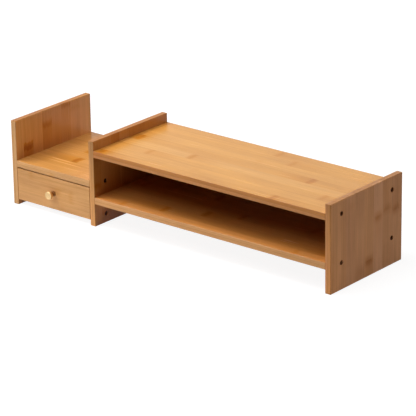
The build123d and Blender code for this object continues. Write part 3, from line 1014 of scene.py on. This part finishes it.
class RISER_OT_finish_screws(Operator):
    """Finish the wood screws in blackened steel"""

    bl_idname = "riser.finish_screws"
    bl_label = "Finish screws"

    def execute(self, context):
        hardware = context.scene.riser_hardware
        black = metal(
            "Blackened steel",
            hardware.black_steel,
            hardware.worn_steel,
            STEEL_GLOSS,
            glance=STEEL_GLANCE,
        )
        for node in WOOD_SCREWS:
            paint(node, black)
        return {"FINISHED"}


class RISER_OT_finish_knob(Operator):
    """Finish the knob in satin brass and its screw in zinc plate"""

    bl_idname = "riser.finish_knob"
    bl_label = "Finish knob"

    def execute(self, context):
        hardware = context.scene.riser_hardware
        low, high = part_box("drawer_knob")
        centre = (low + high) / 2
        # Where the painted shade on the knob's neck starts
        neck = low.y + NECK_PAINTED_SHADE_START * (high.y - low.y)
        brass = metal("Satin brass", hardware.brass, hardware.dull_brass, BRASS_GLOSS, centre, neck)
        zinc = metal("Zinc plate", hardware.zinc, hardware.dull_zinc, ZINC_GLOSS, centre)
        paint("drawer_knob", brass)
        paint("knob_screw", zinc)
        return {"FINISHED"}


def camera_rays(nodes):
    """1 for the rays that show the white surroundings: camera, glossy and transmission rays"""
    path = nodes.add("ShaderNodeLightPath").outputs
    mirrored = nodes.math("MAXIMUM", path["Is Glossy Ray"], path["Is Transmission Ray"])
    return nodes.math("MAXIMUM", path["Is Camera Ray"], mirrored)


def make_world():
    """A white surround for the camera and for reflections, and a dark one for the light itself"""
    world = bpy.data.worlds.new("Studio surround")
    world.use_nodes = True
    world.node_tree.nodes.clear()
    nodes = Nodes(world.node_tree)
    dark = nodes.add("ShaderNodeBackground", {"Color": (1, 1, 1, 1), "Strength": 0.0}).outputs[0]
    white = nodes.add("ShaderNodeBackground", {"Color": (1, 1, 1, 1), "Strength": 1.0}).outputs[0]
    mixed = nodes.add("ShaderNodeMixShader", {0: camera_rays(nodes), 1: dark, 2: white}).outputs[0]
    nodes.add("ShaderNodeOutputWorld", {"Surface": mixed})
    bpy.context.scene.world = world


def floor_material(studio):
    """Pale for the light, brighter before the riser, and white with a soft shadow for the camera"""
    material = bpy.data.materials.new("Pale floor")
    material.use_nodes = True
    material.node_tree.nodes.clear()
    nodes = Nodes(material.node_tree)

    def length(vector):
        return nodes.add("ShaderNodeVectorMath", {0: vector}, operation="LENGTH").outputs["Value"]

    def diffuse(colour):
        return nodes.add("ShaderNodeBsdfDiffuse", {"Color": colour}).outputs[0]

    place = nodes.add("ShaderNodeTexCoord").outputs["Object"]
    inputs = {"Vector": place, "Location": REFLECTOR_PLACE, "Scale": REFLECTOR_SIZE}
    patch = nodes.add("ShaderNodeMapping", inputs, vector_type="TEXTURE").outputs[0]
    near = nodes.ramp(length(patch), REFLECTOR_CORE, 1.0, 1.0, 0.0)
    bounce = nodes.blend(near, opaque(studio.floor_colour), opaque(studio.reflector_colour))
    plain = diffuse(bounce)
    shadow = diffuse(opaque(SHADOW_COLOUR))
    far = nodes.ramp(length(place), *GLOW_REACH)
    glowing = nodes.blend(far, opaque(NEAR_GLOW), opaque(FAR_GLOW))
    glow = nodes.add("ShaderNodeEmission", {"Color": glowing, "Strength": 1.0}).outputs[0]
    shown = nodes.add("ShaderNodeAddShader", {0: shadow, 1: glow}).outputs[0]
    mixed = nodes.add("ShaderNodeMixShader", {0: camera_rays(nodes), 1: plain, 2: shown}).outputs[0]
    nodes.add("ShaderNodeOutputMaterial", {"Surface": mixed})
    return material


def make_floor(studio):
    """A wide round floor under the riser"""
    mesh = bpy.data.meshes.new("studio_floor")
    shape = bmesh.new()
    bmesh.ops.create_circle(
        shape, cap_ends=True, cap_tris=False, segments=FLOOR_SIDES, radius=FLOOR_RADIUS
    )
    shape.to_mesh(mesh)
    shape.free()
    floor = bpy.data.objects.new("studio_floor", mesh)
    bpy.context.scene.collection.objects.link(floor)
    mesh.materials.append(floor_material(studio))


def make_lamp(name, place, aim, size, share, power):
    """A soft lamp that looks at a point"""
    data = bpy.data.lights.new(name, "AREA")
    data.shape = "RECTANGLE"
    data.size, data.size_y = size
    data.energy = power * share
    lamp = bpy.data.objects.new(name, data)
    lamp.location = place
    lamp.rotation_euler = (Vector(aim) - Vector(place)).to_track_quat("-Z", "Y").to_euler()
    bpy.context.scene.collection.objects.link(lamp)


def make_camera(studio):
    """The camera at the photograph's angle, with its slight roll"""
    data = bpy.data.cameras.new("Studio camera")
    data.sensor_width = SENSOR_WIDTH
    data.lens = studio.lens
    data.clip_start, data.clip_end = CAMERA_CLIP
    outward = Vector((
        math.sin(studio.azimuth) * math.cos(studio.elevation),
        -math.cos(studio.azimuth) * math.cos(studio.elevation),
        math.sin(studio.elevation),
    ))
    level = Vector((0, 0, 1)).cross(outward).normalized()
    right = Matrix.Rotation(studio.roll, 3, outward) @ level
    up = outward.cross(right)
    turn = Matrix((right, up, outward)).transposed().to_4x4()
    place = Vector(studio.aim) + outward * studio.distance
    camera = bpy.data.objects.new("Studio camera", data)
    camera.matrix_world = Matrix.Translation(place) @ turn
    bpy.context.scene.collection.objects.link(camera)
    bpy.context.scene.camera = camera


class RISER_OT_set_stage(Operator):
    """Set up the floor, the surround, the lamps and the camera"""

    bl_idname = "riser.set_stage"
    bl_label = "Set stage"

    def execute(self, context):
        studio = context.scene.riser_studio
        context.scene.view_settings.view_transform = "Standard"
        make_world()
        make_floor(studio)
        for lamp in LAMPS:
            make_lamp(*lamp, studio.lamp_power)
        make_camera(studio)
        return {"FINISHED"}


STEPS = (
    RISER_OT_finish_uprights,
    RISER_OT_finish_boards,
    RISER_OT_finish_back_panels,
    RISER_OT_finish_drawer_front,
    RISER_OT_finish_drawer_box,
    RISER_OT_finish_dowels,
    RISER_OT_finish_screws,
    RISER_OT_finish_knob,
    RISER_OT_set_stage,
)


class RISER_PT_panel(Panel):
    """The riser's settings and steps in the sidebar"""

    bl_idname = "RISER_PT_panel"
    bl_label = "Bamboo desk riser"
    bl_space_type = "VIEW_3D"
    bl_region_type = "UI"
    bl_category = "Riser"

    def draw(self, context):
        for group in (
            context.scene.riser_bamboo,
            context.scene.riser_hardware,
            context.scene.riser_studio,
        ):
            box = self.layout.box()
            for name in group.bl_rna.properties.keys():
                if name not in {"rna_type", "name"}:
                    box.prop(group, name)
        for step in STEPS:
            self.layout.operator(step.bl_idname)


SETTINGS = {
    "riser_bamboo": RiserBamboo,
    "riser_hardware": RiserHardware,
    "riser_studio": RiserStudio,
}


def register():
    for kind in (*SETTINGS.values(), *STEPS, RISER_PT_panel):
        bpy.utils.register_class(kind)
    for name, kind in SETTINGS.items():
        setattr(bpy.types.Scene, name, PointerProperty(type=kind))


def unregister():
    for name in SETTINGS:
        delattr(bpy.types.Scene, name)
    for kind in reversed((*SETTINGS.values(), *STEPS, RISER_PT_panel)):
        bpy.utils.unregister_class(kind)


def main():
    register()
    bpy.ops.riser.finish_uprights()
    bpy.ops.riser.finish_boards()
    bpy.ops.riser.finish_back_panels()
    bpy.ops.riser.finish_drawer_front()
    bpy.ops.riser.finish_drawer_box()
    bpy.ops.riser.finish_dowels()
    bpy.ops.riser.finish_screws()
    bpy.ops.riser.finish_knob()
    bpy.ops.riser.set_stage()


if __name__ == "__main__":
    main()
